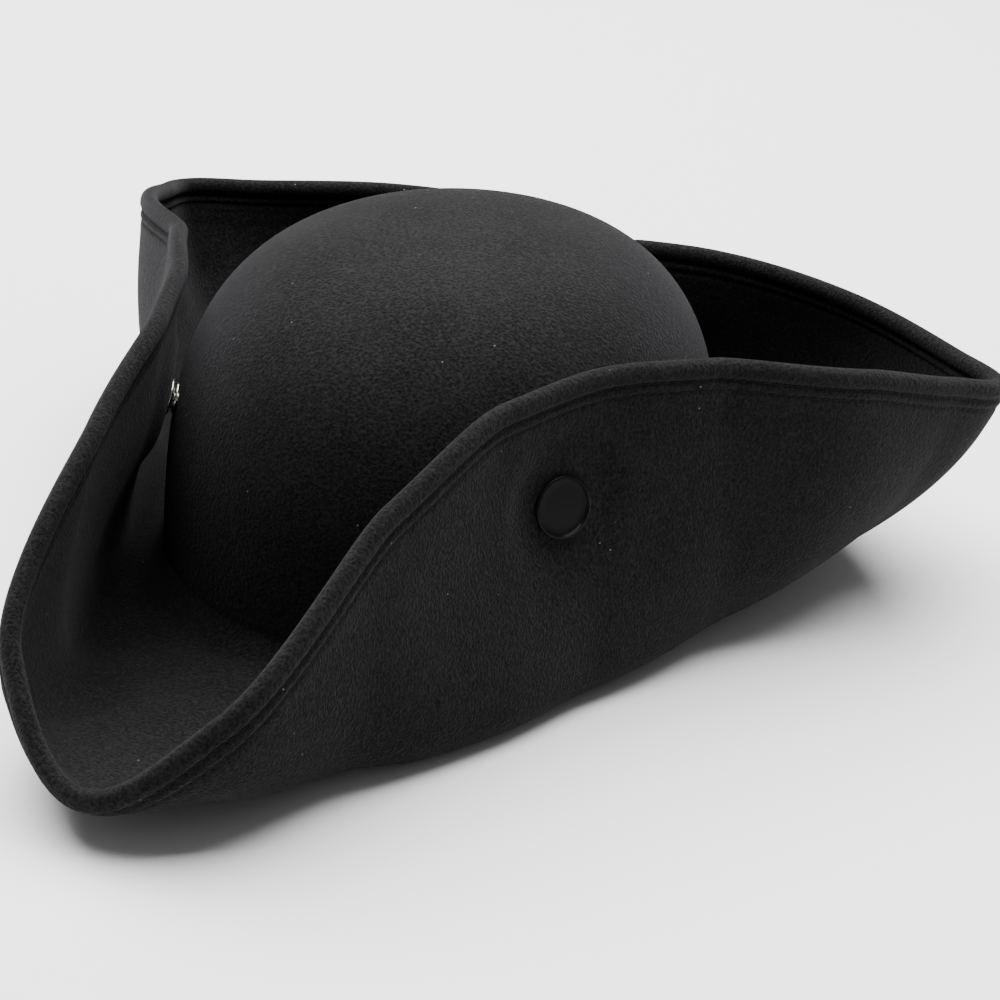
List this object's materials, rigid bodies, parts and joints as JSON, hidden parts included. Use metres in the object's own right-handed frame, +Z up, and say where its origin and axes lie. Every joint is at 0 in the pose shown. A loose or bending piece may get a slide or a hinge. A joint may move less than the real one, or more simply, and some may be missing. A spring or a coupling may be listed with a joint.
{
  "type": "tricorn hat",
  "caption": "Black felt three-cornered hat with a domed crown and a brim snapped up on three sides; each side unsnaps and folds down.",
  "frame": {"origin": "middle of the head opening, in the plane where the head enters", "axes": "+Z up, -Y the wearer's front, +X the wearer's left"},
  "size_m": [0.3254, 0.3535, 0.1208],
  "materials": {
    "felt": "matt wool felt with a short nap",
    "ribbon": "ribbed grosgrain ribbon",
    "wire": "plain drawn steel",
    "snap_cap": "glossy black enamel",
    "snap_metal": "bright nickel plate"
  },
  "bodies": {
    "crown_and_base": {"crown": "felt", "brim_base": "felt", "sweatband": "ribbon", "front_corner_hem": "felt", "front_corner_wire": "wire", "left_rear_corner_hem": "felt", "left_rear_corner_wire": "wire", "right_rear_corner_hem": "felt", "right_rear_corner_wire": "wire", "left_snap_stud": "snap_metal", "left_snap_eyelet": "snap_metal", "right_snap_stud": "snap_metal", "right_snap_eyelet": "snap_metal", "back_snap_stud": "snap_metal", "back_snap_eyelet": "snap_metal"},
    "left_side": {"left_flap": "felt", "left_flap_hem": "felt", "left_flap_wire": "wire", "left_snap_cap": "snap_cap", "left_snap_socket": "snap_metal"},
    "right_side": {"right_flap": "felt", "right_flap_hem": "felt", "right_flap_wire": "wire", "right_snap_cap": "snap_cap", "right_snap_socket": "snap_metal"},
    "back_side": {"back_flap": "felt", "back_flap_hem": "felt", "back_flap_wire": "wire", "wire_joiner": "wire", "back_snap_cap": "snap_cap", "back_snap_socket": "snap_metal"}
  },
  "joints": [
    {"name": "left_side_fold", "type": "hinge", "parent": "crown_and_base", "child": "left_side", "pos_m": [0.09783, -0.06599, 0.014], "axis": [0.4646, 0.8835, 0.0597], "range_deg": [0, 65]},
    {"name": "right_side_fold", "type": "hinge", "parent": "crown_and_base", "child": "right_side", "pos_m": [-0.09783, -0.06599, 0.014], "axis": [0.4646, -0.8835, -0.0597], "range_deg": [0, 65]},
    {"name": "back_side_fold", "type": "hinge", "parent": "crown_and_base", "child": "back_side", "pos_m": [0, 0.133, 0.014], "axis": [-1, 0, 0], "range_deg": [0, 30]}
  ]
}
